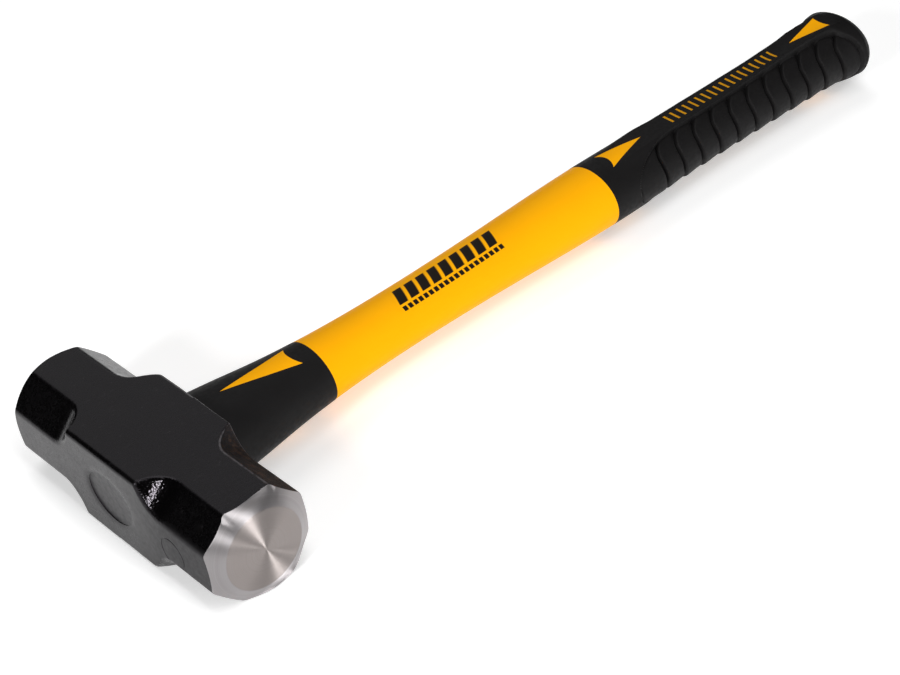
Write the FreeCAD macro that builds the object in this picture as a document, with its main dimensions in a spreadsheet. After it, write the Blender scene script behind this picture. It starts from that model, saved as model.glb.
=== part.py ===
import FreeCAD, Part
import math
import os

import Sketcher

# A short-handled, double-faced sledgehammer with a bonded fibreglass handle, as an assembly:
#   hammer_head        forged steel, octagonal ends, square middle, an oval eye right through it
#   fibreglass_core    pultruded rod of oval section, from inside the eye almost to the butt
#   eye_resin          cast epoxy that fills the eye around the core
#   handle_jacket      yellow polypropylene moulded over the core
#   overstrike_collar  rubber sleeve that flares against the head
#   grip_sleeve        rubber grip with ridged side pads and a closed, flared butt
#
# Frame: the hammer lies on its cheek. +Z is up, +X runs along the handle from head to butt and
# Y along the head. Everything is drawn about the handle's axis, and each sub-part's Placement
# then lifts it by half the head's height, so that the origin is the centre of the lower cheek.

VECTOR = FreeCAD.Vector
NO_TURN = FreeCAD.Rotation()

# Driving dimensions, in millimetres and degrees.
DIMENSIONS = {
    # Head
    "head_length": 130.0,
    "head_width": 43.0,
    "head_height": 40.4,
    "corner_flat_distance": 21.5,
    "corner_flat_start": 34.0,
    "runout_radius": 13.3,
    "middle_edge_fillet": 1.2,
    "face_disc_radius": 16.3,
    "crown_rise": 0.8,
    "centre_spot_radius": 0.6,
    "face_bevel_angle": 30.0,
    "eye_mouth_half_width": 13.2,
    "eye_mouth_half_thick": 10.6,
    "eye_throat_half_width": 12.2,
    "eye_throat_half_thick": 9.8,
    "stamp_radius": 6.5,
    "stamp_line": 0.6,
    "stamp_depth": 0.3,
    "stamp_distance": 38.0,
    "stamp_drop": 3.5,
    # Core and resin
    "core_half_width": 10.4,
    "core_half_thick": 7.9,
    "core_top_cover": 3.3,
    "core_butt_cover": 12.0,
    "resin_recess": 0.8,
    # Handle
    "overall_length": 405.0,
    "collar_length": 51.5,
    "grip_start": 222.5,
    "rubber_thickness": 2.2,
    "butt_wall": 9.0,
    "butt_fillet": 10.3,
    # Windows in the rubber, through which the jacket shows
    "collar_arrow_apex": 32.0,
    "collar_arrow_base": 66.0,
    "collar_arrow_half_width": 6.1,
    "collar_arrow_hollow": 2.0,
    "front_arrow_apex": 253.0,
    "front_arrow_base": 231.0,
    "front_arrow_half_width": 5.8,
    "front_arrow_hollow": 2.0,
    "rear_arrow_apex": 345.5,
    "rear_arrow_base": 367.0,
    "rear_arrow_half_width": 4.8,
    "rear_arrow_hollow": 0.4,
    "mark_start": 269.0,
    "mark_pitch": 3.8,
    "mark_count": 18,
    "mark_width": 1.3,
    "mark_half_height": 2.5,
    "mark_slant": 1.6,
    # Ridged pads on the grip's sides
    "groove_count": 11,
    "groove_start": 252.6,
    "groove_pitch": 11.0,
    "groove_width": 1.2,
    "groove_depth": 1.1,
    "groove_half_height": 12.0,
    "groove_lean": 3.2,
    "groove_knee_height": 8.0,
    "groove_knee_shift": 0.8,
    "groove_floor_cover": 2.0,
    # Blocks that other shapes are cut with reach well past the handle
    "tool_span": 80.0,
}

# Oval sections of the handle's outside: distance from the head's middle along +X, half width
# along Y, half thickness along Z. They go into the sheet as NAME_station and so on.
SECTIONS = {
    "root": (21.5, 20.6, 17.2),
    "flare": (37.0, 19.0, 15.6),
    "throat": (53.0, 17.0, 13.8),
    "collar_end": (73.0, 15.0, 12.4),
    "waist": (122.0, 13.8, 11.4),
    "swell": (172.0, 14.8, 12.3),
    "grip": (222.5, 16.3, 13.5),
    "palm": (262.0, 15.4, 13.9),
    "hand": (305.0, 15.2, 14.1),
    "heel": (345.0, 16.2, 14.4),
    "toe": (358.0, 16.4, 15.0),
    "rim": (373.0, 18.8, 15.0),
    "butt": (383.5, 18.8, 15.0),
}

doc = FreeCAD.newDocument("Sledgehammer")


# ---------------------------------------------------------------- spreadsheet
def fill_sheet():
    """Write every driving dimension into the sheet, one aliased cell each."""
    rows = dict(DIMENSIONS)
    for name, (station, half_width, half_thick) in SECTIONS.items():
        rows[name + "_station"] = station
        rows[name + "_half_width"] = half_width
        rows[name + "_half_thick"] = half_thick
    sheet = doc.addObject("Spreadsheet::Sheet", "Dimensions")
    for row, (alias, amount) in enumerate(rows.items(), start=1):
        sheet.set(f"A{row}", alias)
        sheet.set(f"B{row}", str(amount))
        sheet.setAlias(f"B{row}", alias)
    doc.recompute()
    return sheet


SHEET = fill_sheet()


def value(alias):
    """The number in the sheet's cell with this alias."""
    return float(SHEET.get(alias))


def cells(formula):
    """Turn a formula on aliases, each written in brackets, into a FreeCAD expression."""
    return formula.replace("[", "Dimensions.").replace("]", "")


# ---------------------------------------------------------------- helpers
def new_body(name):
    """An empty PartDesign body."""
    body = doc.addObject("PartDesign::Body", name)
    body.Label = name
    return body


def origin_feature(body, role):
    """One of the body's own origin planes or axes."""
    return next(item for item in body.Origin.OriginFeatures if item.Role == role)


def new_sketch(body, name, role, offset="0 mm", turn=NO_TURN):
    """A sketch on one of the body's origin planes, moved along its normal by an expression."""
    sketch = body.newObject("Sketcher::SketchObject", name)
    sketch.AttachmentSupport = [(origin_feature(body, role), "")]
    sketch.MapMode = "FlatFace"
    sketch.AttachmentOffset = FreeCAD.Placement(VECTOR(), turn)
    sketch.setExpression("AttachmentOffset.Base.z", cells(offset))
    return sketch


def bind(sketch, constraint, formula):
    """Add a dimension to the sketch and bind it to the sheet."""
    index = sketch.addConstraint(constraint)
    sketch.setExpression(f"Constraints[{index}]", cells(formula))


def oval_sketch(body, name, station, half_width, half_thick):
    """An ellipse across the handle: wide along Y, thick along Z. The sizes are formulas."""
    sketch = new_sketch(body, name, "YZ_Plane", station)
    ellipse = sketch.addGeometry(Part.Ellipse(VECTOR(12, 0, 0), VECTOR(0, 10, 0), VECTOR()))
    sketch.exposeInternalGeometry(ellipse)
    major, minor = ellipse + 1, ellipse + 2
    sketch.addConstraint(Sketcher.Constraint("Coincident", ellipse, 3, -1, 1))
    sketch.addConstraint(Sketcher.Constraint("Horizontal", major))
    bind(sketch, Sketcher.Constraint("Distance", major, 24.0), f"2 * ({half_width})")
    bind(sketch, Sketcher.Constraint("Distance", minor, 20.0), f"2 * ({half_thick})")
    return sketch


def section_sketch(body, name, inset="0"):
    """The oval of one named handle section, drawn smaller all round by the inset."""
    return oval_sketch(
        body,
        f"{body.Name}_{name}",
        f"[{name}_station]",
        f"[{name}_half_width] - {inset}",
        f"[{name}_half_thick] - {inset}",
    )


def loft(body, sketches, kind="AdditiveLoft"):
    """A smooth loft through the sketches, which also becomes the body's tip."""
    feature = body.newObject(f"PartDesign::{kind}", f"{body.Name}_{kind}")
    feature.Profile = sketches[0]
    feature.Sections = sketches[1:]
    doc.recompute()
    return feature


def polygon(sketch, points):
    """A closed wire of straight lines. Returns the index of its first line."""
    first = sketch.GeometryCount
    count = len(points)
    for index, point in enumerate(points):
        following = points[(index + 1) % count]
        sketch.addGeometry(Part.LineSegment(VECTOR(*point, 0), VECTOR(*following, 0)))
    for index in range(count):
        following = first + (index + 1) % count
        sketch.addConstraint(Sketcher.Constraint("Coincident", first + index, 2, following, 1))
    return first


def arc_ends(sketch, arc, start):
    """The arc's two point numbers: the one at the given start, then the other."""
    forward = sketch.getPoint(arc, 1).distanceToPoint(start) < 1e-6
    return (1, 2) if forward else (2, 1)


def pad(body, sketch, length, name):
    """A pad to both sides of the sketch, with its full length given as a formula."""
    feature = body.newObject("PartDesign::Pad", name)
    feature.Profile = sketch
    feature.Midplane = True
    feature.setExpression("Length", cells(length))
    doc.recompute()
    return feature


def boolean(kind, name, base, tool):
    """A Part boolean of two objects."""
    result = doc.addObject(f"Part::{kind}", name)
    result.Base = base
    result.Tool = tool
    doc.recompute()
    return result


def fuse(name, shapes):
    """A Part fusion of several objects."""
    result = doc.addObject("Part::MultiFuse", name)
    result.Shapes = shapes
    doc.recompute()
    return result


def removed(body, before, feature):
    """Stop if a cutting feature took nothing away."""
    if body.Shape.Volume > before - 0.5:
        raise RuntimeError(f"{feature} cut nothing")


# ---------------------------------------------------------------- head
def head_block(body):
    """The forging before it is trimmed: a rectangular bar along Y."""
    sketch = new_sketch(body, "head_section", "XZ_Plane")
    half_x, half_z = value("head_width") / 2, value("head_height") / 2
    corners = [(-half_x, -half_z), (half_x, -half_z), (half_x, half_z), (-half_x, half_z)]
    bottom = polygon(sketch, corners)
    for line in (bottom, bottom + 2):
        sketch.addConstraint(Sketcher.Constraint("Horizontal", line))
    for line in (bottom + 1, bottom + 3):
        sketch.addConstraint(Sketcher.Constraint("Vertical", line))
    centred = Sketcher.Constraint("Symmetric", bottom, 1, bottom + 1, 2, -1, 1)
    sketch.addConstraint(centred)
    bind(sketch, Sketcher.Constraint("Distance", bottom, 2 * half_x), "[head_width]")
    bind(sketch, Sketcher.Constraint("Distance", bottom + 1, 2 * half_z), "[head_height]")
    pad(body, sketch, "[head_length]", "head_block")


def corner_flats(body):
    """Cut the flats that make each end octagonal, running out in an arc into the square middle.

    The profile lies on the diagonal plane through Y and one corner of the bar. The cut is
    repeated about Y at the other corners, and mirrored to the other end.
    """
    diagonal = FreeCAD.Rotation(VECTOR(0, 1, 0), 45)
    sketch = new_sketch(body, "corner_profile", "XY_Plane", turn=diagonal)
    distance, start = value("corner_flat_distance"), value("corner_flat_start")
    radius = value("runout_radius")
    reach, beyond = 10.0, value("head_length") / 2 + 5.0
    arc_angle = math.acos((radius - reach) / radius)
    centre = VECTOR(distance + radius, start, 0)
    flat_end = VECTOR(distance, start, 0)
    middle = centre - VECTOR(math.cos(arc_angle / 2), math.sin(arc_angle / 2), 0) * radius
    arc_end = centre - VECTOR(math.cos(arc_angle), math.sin(arc_angle), 0) * radius
    outer, tip = VECTOR(distance + reach, beyond, 0), VECTOR(distance, beyond, 0)
    arc = sketch.addGeometry(Part.Arc(flat_end, middle, arc_end))
    runs = [(arc_end, outer), (outer, tip), (tip, flat_end)]
    edge, back, flat = [sketch.addGeometry(Part.LineSegment(*ends)) for ends in runs]
    at_flat, at_edge = arc_ends(sketch, arc, flat_end)
    sketch.addConstraint(Sketcher.Constraint("Coincident", arc, at_edge, edge, 1))
    sketch.addConstraint(Sketcher.Constraint("Coincident", edge, 2, back, 1))
    sketch.addConstraint(Sketcher.Constraint("Coincident", back, 2, flat, 1))
    sketch.addConstraint(Sketcher.Constraint("Tangent", flat, 2, arc, at_flat))
    sketch.addConstraint(Sketcher.Constraint("Vertical", edge))
    sketch.addConstraint(Sketcher.Constraint("Horizontal", back))
    sketch.addConstraint(Sketcher.Constraint("Vertical", flat))
    sketch.addConstraint(Sketcher.Constraint("DistanceX", back, 2, back, 1, reach))
    for axis, line, end, length, formula in (
        ("DistanceX", flat, 2, distance, "[corner_flat_distance]"),
        ("DistanceY", flat, 2, start, "[corner_flat_start]"),
        ("DistanceY", back, 1, beyond, "[head_length] / 2 + 5"),
    ):
        bind(sketch, Sketcher.Constraint(axis, -1, 1, line, end, length), formula)
    bind(sketch, Sketcher.Constraint("Radius", arc, radius), "[runout_radius]")
    before = body.Shape.Volume
    pocket = body.newObject("PartDesign::Pocket", "corner_flat")
    pocket.Profile = sketch
    pocket.Midplane = True
    pocket.setExpression("Length", cells("[head_height]"))
    doc.recompute()
    removed(body, before, "corner_flat")
    multi = body.newObject("PartDesign::MultiTransform", "corner_flats")
    multi.Originals = [pocket]
    around = body.newObject("PartDesign::PolarPattern", "four_corners")
    around.Axis = (origin_feature(body, "Y_Axis"), [""])
    around.Angle = 360
    around.Occurrences = 4
    across = body.newObject("PartDesign::Mirrored", "both_ends")
    across.MirrorPlane = (origin_feature(body, "XZ_Plane"), [""])
    multi.Transformations = [around, across]
    body.Tip = multi
    doc.recompute()


def soften_middle(body):
    """Round the four long corner edges of the square middle."""
    base = body.Tip
    inner = value("corner_flat_start")
    names = []
    for index, edge in enumerate(base.Shape.Edges, start=1):
        box = edge.BoundBox
        corner = math.hypot(box.XMin, box.ZMin) > value("corner_flat_distance") + 6
        along = box.XLength < 0.01 and box.ZLength < 0.01 and box.YLength < 2 * inner
        if along and corner:
            names.append(f"Edge{index}")
    if len(names) != 4:
        raise RuntimeError(f"expected 4 middle edges, found {len(names)}")
    fillet = body.newObject("PartDesign::Fillet", "middle_edges")
    fillet.Base = (base, names)
    fillet.setExpression("Radius", cells("[middle_edge_fillet]"))
    body.Tip = fillet
    doc.recompute()


def striking_faces(body):
    """Turn both ends to a crowned disc inside a conical bevel.

    The cut leaves a small flat spot at the centre of each face.
    """
    sketch = new_sketch(body, "face_profile", "XY_Plane")
    half, rise, margin = value("head_length") / 2, value("crown_rise"), 14.0
    spot, disc = value("centre_spot_radius"), value("face_disc_radius")
    rim, clear = disc + margin, half + margin
    drop = margin * math.tan(math.radians(value("face_bevel_angle")))
    depth = (disc**2 + rise**2 - spot**2) / (2 * rise)
    centre = VECTOR(0, half - depth, 0)
    crown_start, crown_end = VECTOR(spot, half, 0), VECTOR(disc, half - rise, 0)
    chord_middle = (crown_start + crown_end) / 2 - centre
    crown_middle = centre + chord_middle.normalize() * math.hypot(spot, depth)
    bevel_end = VECTOR(rim, half - rise - drop, 0)
    arc = sketch.addGeometry(Part.Arc(crown_start, crown_middle, crown_end))
    path = [crown_end, bevel_end, VECTOR(rim, clear, 0), VECTOR(spot, clear, 0), crown_start]
    runs = zip(path, path[1:])
    lines = [sketch.addGeometry(Part.LineSegment(*ends)) for ends in runs]
    bevel, side, end, inner = lines
    at_spot, at_bevel = arc_ends(sketch, arc, crown_start)
    sketch.addConstraint(Sketcher.Constraint("Coincident", arc, at_bevel, bevel, 1))
    for line, following in zip(lines, lines[1:]):
        sketch.addConstraint(Sketcher.Constraint("Coincident", line, 2, following, 1))
    sketch.addConstraint(Sketcher.Constraint("Coincident", inner, 2, arc, at_spot))
    sketch.addConstraint(Sketcher.Constraint("Vertical", side))
    sketch.addConstraint(Sketcher.Constraint("Horizontal", end))
    sketch.addConstraint(Sketcher.Constraint("Vertical", inner))
    sketch.addConstraint(Sketcher.Constraint("PointOnObject", arc, 3, -2))
    for kind, line, point, length, formula in (
        ("DistanceX", bevel, 1, disc, "[face_disc_radius]"),
        ("DistanceX", inner, 2, spot, "[centre_spot_radius]"),
        ("DistanceX", side, 1, rim, f"[face_disc_radius] + {margin}"),
        ("DistanceY", inner, 2, half, "[head_length] / 2"),
        ("DistanceY", bevel, 1, half - rise, "[head_length] / 2 - [crown_rise]"),
        ("DistanceY", end, 2, clear, f"[head_length] / 2 + {margin}"),
    ):
        bind(sketch, Sketcher.Constraint(kind, -1, 1, line, point, length), formula)
    bind(
        sketch,
        Sketcher.Constraint("DistanceY", bevel, 2, bevel, 1, drop),
        f"{margin} * tan([face_bevel_angle] * 1 deg)",
    )
    before = body.Shape.Volume
    groove = body.newObject("PartDesign::Groove", "striking_face")
    groove.Profile = sketch
    groove.ReferenceAxis = (sketch, ["V_Axis"])
    groove.Angle = 360
    doc.recompute()
    removed(body, before, "striking_face")
    mirrored = body.newObject("PartDesign::Mirrored", "striking_faces")
    mirrored.Originals = [groove]
    mirrored.MirrorPlane = (origin_feature(body, "XZ_Plane"), [""])
    body.Tip = mirrored
    doc.recompute()


def eye_ovals(body):
    """The eye's three ovals: wide at both mouths and tighter in the middle."""
    stations = [
        ("top", "-[head_width] / 2", "mouth"),
        ("middle", "0 mm", "throat"),
        ("bottom", "[head_width] / 2", "mouth"),
    ]
    return [
        oval_sketch(
            body,
            f"{body.Name}_eye_{name}",
            station,
            f"[eye_{size}_half_width]",
            f"[eye_{size}_half_thick]",
        )
        for name, station, size in stations
    ]


def stamp_ring(body):
    """A shallow ring struck into the head-top face, near one end."""
    sketch = new_sketch(body, "stamp", "YZ_Plane", "-[head_width] / 2")
    centre = VECTOR(-value("stamp_distance"), -value("stamp_drop"), 0)
    radius = value("stamp_radius")
    outer = sketch.addGeometry(Part.Circle(centre, VECTOR(0, 0, 1), radius))
    inner = sketch.addGeometry(Part.Circle(centre, VECTOR(0, 0, 1), radius - value("stamp_line")))
    sketch.addConstraint(Sketcher.Constraint("Coincident", outer, 3, inner, 3))
    for axis, alias in (("DistanceX", "stamp_distance"), ("DistanceY", "stamp_drop")):
        centred = Sketcher.Constraint(axis, outer, 3, -1, 1, value(alias))
        bind(sketch, centred, f"[{alias}]")
    bind(sketch, Sketcher.Constraint("Radius", outer, radius), "[stamp_radius]")
    bind(
        sketch,
        Sketcher.Constraint("Radius", inner, radius - value("stamp_line")),
        "[stamp_radius] - [stamp_line]",
    )
    before = body.Shape.Volume
    pocket = body.newObject("PartDesign::Pocket", "stamp_ring")
    pocket.Profile = sketch
    pocket.Reversed = True
    pocket.setExpression("Length", cells("[stamp_depth]"))
    doc.recompute()
    removed(body, before, "stamp_ring")


def hammer_head():
    """The forged head, with its eye."""
    body = new_body("hammer_head")
    head_block(body)
    corner_flats(body)
    soften_middle(body)
    striking_faces(body)
    before = body.Shape.Volume
    loft(body, eye_ovals(body), "SubtractiveLoft")
    removed(body, before, "eye")
    stamp_ring(body)
    return body


# ---------------------------------------------------------------- core and resin
def core_rod(name):
    """The pultruded oval rod, the same section along its whole length."""
    body = new_body(name)
    start = "-[head_width] / 2 + [core_top_cover]"
    section = oval_sketch(body, name + "_section", start, "[core_half_width]", "[core_half_thick]")
    feature = body.newObject("PartDesign::Pad", name + "_pad")
    feature.Profile = section
    feature.setExpression(
        "Length", cells("[overall_length] - [core_top_cover] - [core_butt_cover]")
    )
    doc.recompute()
    return body


def eye_filling():
    """Everything inside the eye, up to a shallow recess below the head-top face."""
    body = new_body("eye_filling")
    loft(body, eye_ovals(body))
    sketch = oval_sketch(
        body,
        "recess",
        "-[head_width] / 2",
        "[eye_mouth_half_width] + 1",
        "[eye_mouth_half_thick] + 1",
    )
    before = body.Shape.Volume
    pocket = body.newObject("PartDesign::Pocket", "resin_recess")
    pocket.Profile = sketch
    pocket.Reversed = True
    pocket.setExpression("Length", cells("[resin_recess]"))
    doc.recompute()
    removed(body, before, "resin_recess")
    return body


# ---------------------------------------------------------------- handle
def envelope():
    """The handle's whole outside, from the head to the closed butt."""
    body = new_body("envelope")
    names = [name for name in SECTIONS if name != "butt"]
    loft(body, [section_sketch(body, name) for name in names])
    cap = section_sketch(body, "butt")
    feature = body.newObject("PartDesign::Pad", "butt_cap")
    feature.Profile = cap
    feature.Reversed = True
    feature.setExpression("Length", cells("[butt_station] - [rim_station]"))
    doc.recompute()
    edges = [
        f"Edge{index}"
        for index, edge in enumerate(feature.Shape.Edges, start=1)
        if edge.BoundBox.XMin > value("butt_station") - 0.01
    ]
    fillet = body.newObject("PartDesign::Fillet", "butt_edge")
    fillet.Base = (feature, edges)
    fillet.setExpression("Radius", cells("[butt_fillet]"))
    body.Tip = fillet
    doc.recompute()
    return body


def inner_form(name, inset, last_section, end_station):
    """A form inside the envelope: every section is smaller by the inset."""
    body = new_body(name)
    names = list(SECTIONS)
    names = names[: names.index(last_section) + 1]
    sketches = [section_sketch(body, section, inset) for section in names]
    sketches.append(
        oval_sketch(
            body,
            f"{name}_end",
            end_station,
            f"[{last_section}_half_width] - {inset}",
            f"[{last_section}_half_thick] - {inset}",
        )
    )
    loft(body, sketches)
    return body


def band(name, start, end):
    """A wide block across the handle between two stations, given as formulas."""
    block = doc.addObject("Part::Box", name)
    for side, axis in (("Width", "y"), ("Height", "z")):
        block.setExpression(side, cells("[tool_span]"))
        block.setExpression(f"Placement.Base.{axis}", cells("-[tool_span] / 2"))
    block.setExpression("Length", cells(f"({end}) - ({start})"))
    block.setExpression("Placement.Base.x", cells(start))
    doc.recompute()
    return block


def arrow_sketch(body, name):
    """A triangle along the handle's spine whose base is hollowed by an arc."""
    sketch = new_sketch(body, name, "XY_Plane")
    apex, base = value(f"{name}_apex"), value(f"{name}_base")
    half, hollow = value(f"{name}_half_width"), value(f"{name}_hollow")
    towards_apex = math.copysign(hollow, apex - base)
    tip = VECTOR(apex, 0, 0)
    left, right = VECTOR(base, half, 0), VECTOR(base, -half, 0)
    first = sketch.addGeometry(Part.LineSegment(tip, left))
    second = sketch.addGeometry(Part.LineSegment(right, tip))
    arc = sketch.addGeometry(Part.Arc(left, VECTOR(base + towards_apex, 0, 0), right))
    at_left, at_right = arc_ends(sketch, arc, left)
    sketch.addConstraint(Sketcher.Constraint("Coincident", first, 2, arc, at_left))
    sketch.addConstraint(Sketcher.Constraint("Coincident", arc, at_right, second, 1))
    sketch.addConstraint(Sketcher.Constraint("Coincident", second, 2, first, 1))
    sketch.addConstraint(Sketcher.Constraint("PointOnObject", first, 1, -1))
    sketch.addConstraint(Sketcher.Constraint("Symmetric", first, 2, second, 1, -1))
    bind(sketch, Sketcher.Constraint("DistanceX", -1, 1, first, 1, apex), f"[{name}_apex]")
    bind(sketch, Sketcher.Constraint("DistanceX", -1, 1, first, 2, base), f"[{name}_base]")
    bind(
        sketch,
        Sketcher.Constraint("DistanceY", -1, 1, first, 2, half),
        f"[{name}_half_width]",
    )
    bow_radius = (half**2 + hollow**2) / (2 * hollow)
    bind(
        sketch,
        Sketcher.Constraint("Radius", arc, bow_radius),
        f"([{name}_half_width]^2 + [{name}_hollow]^2) / (2 * [{name}_hollow])",
    )
    return sketch


def windows():
    """Upright prisms with the outlines of the arrows and of the row of slanted marks."""
    prisms = []
    for name in ("collar_arrow", "front_arrow", "rear_arrow"):
        body = new_body(name)
        pad(body, arrow_sketch(body, name), "[tool_span]", name + "_prism")
        prisms.append(body)
    body = new_body("mark")
    sketch = new_sketch(body, "mark_outline", "XY_Plane")
    start, width = value("mark_start"), value("mark_width")
    half, slant = value("mark_half_height"), value("mark_slant")
    lower = [(start, -half), (start + width, -half)]
    upper = [(start + width + slant, half), (start + slant, half)]
    bottom = polygon(sketch, lower + upper)
    for line in (bottom, bottom + 2):
        sketch.addConstraint(Sketcher.Constraint("Horizontal", line))
        bind(sketch, Sketcher.Constraint("Distance", line, width), "[mark_width]")
    for axis, length, formula in (
        ("DistanceX", start, "[mark_start]"),
        ("DistanceY", -half, "-[mark_half_height]"),
    ):
        bind(sketch, Sketcher.Constraint(axis, -1, 1, bottom, 1, length), formula)
    bind(
        sketch,
        Sketcher.Constraint("DistanceX", bottom, 2, bottom + 2, 1, slant),
        "[mark_slant]",
    )
    bind(
        sketch,
        Sketcher.Constraint("DistanceY", bottom, 2, bottom + 2, 1, 2 * half),
        "2 * [mark_half_height]",
    )
    prism = pad(body, sketch, "[tool_span]", "mark_prism")
    row = body.newObject("PartDesign::LinearPattern", "mark_row")
    row.Originals = [prism]
    row.Direction = (origin_feature(body, "X_Axis"), [""])
    row.setExpression("Length", cells("[mark_pitch] * ([mark_count] - 1)"))
    row.setExpression("Occurrences", cells("[mark_count]"))
    body.Tip = row
    doc.recompute()
    return prisms + [body]


def groove_slots():
    """S-shaped slots right across the grip, which the groove floor then fills to its depth.

    The centreline runs from the lower end through a knee below and one above the axis to the
    upper end. The slot's two long sides are that line moved by half the groove's width.
    """
    body = new_body("groove_slots")
    sketch = new_sketch(body, "groove_outline", "XZ_Plane")
    start, half_line = value("groove_start"), value("groove_width") / 2
    top, lean = value("groove_half_height"), value("groove_lean")
    knee, shift = value("groove_knee_height"), value("groove_knee_shift")
    centreline = [
        (-lean, -top, "-[groove_lean]", "-[groove_half_height]"),
        (shift, -knee, "[groove_knee_shift]", "-[groove_knee_height]"),
        (-shift, knee, "-[groove_knee_shift]", "[groove_knee_height]"),
        (lean, top, "[groove_lean]", "[groove_half_height]"),
    ]
    corners = [(*point, 1) for point in centreline]
    corners += [(*point, -1) for point in reversed(centreline)]
    first = polygon(sketch, [(start + x + side * half_line, z) for x, z, _, _, side in corners])
    for line, (x, z, lean_formula, height_formula, side) in enumerate(corners, start=first):
        across = Sketcher.Constraint(
            "DistanceX", -1, 1, line, 1, start + x + side * half_line
        )
        bind(sketch, across, f"[groove_start] + ({lean_formula}) + {side} * [groove_width] / 2")
        bind(sketch, Sketcher.Constraint("DistanceY", -1, 1, line, 1, z), height_formula)
    slot = pad(body, sketch, "[tool_span]", "groove_slot")
    row = body.newObject("PartDesign::LinearPattern", "groove_row")
    row.Originals = [slot]
    row.Direction = (origin_feature(body, "X_Axis"), [""])
    row.setExpression("Length", cells("[groove_pitch] * ([groove_count] - 1)"))
    row.setExpression("Occurrences", cells("[groove_count]"))
    body.Tip = row
    doc.recompute()
    return body


def handle_parts(core_space):
    """The jacket and the two rubber sleeves, which meet face to face."""
    outside = envelope()
    under_rubber = inner_form(
        "under_rubber", "[rubber_thickness]", "rim", "[butt_station] - [butt_wall]"
    )
    collar_end = "[root_station] + [collar_length]"
    bare_band = band("bare_band", collar_end, "[grip_start]")
    show_through = fuse("show_through", windows() + [bare_band])
    flush = boolean("Common", "flush_jacket", outside, show_through)
    jacket_outside = fuse("jacket_outside", [under_rubber, flush])
    jacket = boolean("Cut", "handle_jacket", jacket_outside, core_space)

    collar_band = band("collar_band", "[root_station]", collar_end)
    collar_outside = boolean("Common", "collar_outside", outside, collar_band)
    collar = boolean("Cut", "overstrike_collar", collar_outside, jacket_outside)

    grip_band = band("grip_band", "[grip_start]", "[overall_length]")
    grip_outside = boolean("Common", "grip_outside", outside, grip_band)
    slotted = boolean("Cut", "slotted_grip", grip_outside, groove_slots())
    groove_floor = inner_form(
        "groove_floor", "[groove_depth]", "rim", "[butt_station] - [groove_floor_cover]"
    )
    floor_in_grip = boolean("Common", "floor_in_grip", groove_floor, grip_outside)
    grooved = fuse("grooved_grip", [slotted, floor_in_grip])
    grip = boolean("Cut", "grip_sleeve", grooved, jacket_outside)
    return jacket, collar, grip


# ---------------------------------------------------------------- assembly
def finish(part, name):
    """Give the sub-part its label and lift it onto the plane that the cheek rests on."""
    part.Label = name
    part.setExpression("Placement.Base.z", cells("[head_height] / 2"))
    return part


def check_document():
    """Stop if any object failed to recompute."""
    for item in doc.Objects:
        if {"Invalid", "Error"} & set(item.State):
            raise RuntimeError(f"{item.Name} failed: {item.State}")


def export(parts):
    """Write each sub-part's solid to parts/NAME.step."""
    os.makedirs("parts", exist_ok=True)
    for part in parts:
        shape = part.Shape
        if shape.isNull() or not shape.isValid() or not shape.Solids:
            raise RuntimeError(f"{part.Label} has no valid solid")
        shape.exportStep(f"parts/{part.Label}.step")
        box = shape.BoundBox
        print(
            f"{part.Label}: {len(shape.Solids)} solid, {shape.Volume / 1000:.2f} cm3,",
            f"X {box.XMin:.1f}..{box.XMax:.1f}, Y {box.YMin:.1f}..{box.YMax:.1f},",
            f"Z {box.ZMin:.1f}..{box.ZMax:.1f}",
        )


head = hammer_head()
core = core_rod("fibreglass_core")
core_space = core_rod("core_space")
resin = boolean("Cut", "eye_resin", eye_filling(), core_space)
jacket, collar, grip = handle_parts(core_space)
subparts = [head, core, resin, jacket, collar, grip]
for subpart in subparts:
    finish(subpart, subpart.Name)
doc.recompute()
check_document()
export(subparts)
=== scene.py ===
import math

import bmesh
import bpy
import numpy as np
from mathutils import Matrix, Vector, noise


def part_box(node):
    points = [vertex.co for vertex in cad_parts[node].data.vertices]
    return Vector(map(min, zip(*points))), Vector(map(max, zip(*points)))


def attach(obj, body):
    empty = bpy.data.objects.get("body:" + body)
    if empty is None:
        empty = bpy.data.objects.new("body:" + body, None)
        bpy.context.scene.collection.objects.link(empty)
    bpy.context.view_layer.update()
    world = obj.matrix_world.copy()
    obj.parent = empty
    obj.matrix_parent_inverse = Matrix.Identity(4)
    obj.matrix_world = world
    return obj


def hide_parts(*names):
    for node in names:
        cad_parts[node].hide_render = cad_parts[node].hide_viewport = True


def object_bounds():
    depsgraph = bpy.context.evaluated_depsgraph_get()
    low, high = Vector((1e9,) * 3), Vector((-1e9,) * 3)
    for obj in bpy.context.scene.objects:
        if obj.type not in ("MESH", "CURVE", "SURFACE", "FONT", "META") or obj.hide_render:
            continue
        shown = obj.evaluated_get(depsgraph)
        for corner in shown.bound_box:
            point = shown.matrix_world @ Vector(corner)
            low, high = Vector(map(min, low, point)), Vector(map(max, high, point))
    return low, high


# A short-handled sledgehammer around its CAD frame. Shapes are worked out in millimetres about the
# handle's axis, then scaled to metres and lifted to the axis height when each piece is finished.

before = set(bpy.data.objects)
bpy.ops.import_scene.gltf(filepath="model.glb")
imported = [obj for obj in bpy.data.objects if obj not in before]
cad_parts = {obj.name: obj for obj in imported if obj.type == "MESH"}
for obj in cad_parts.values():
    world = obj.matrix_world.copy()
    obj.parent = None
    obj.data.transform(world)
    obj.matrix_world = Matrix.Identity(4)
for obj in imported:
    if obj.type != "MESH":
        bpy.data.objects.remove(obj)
CAD_LOW, CAD_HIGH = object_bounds()

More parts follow.
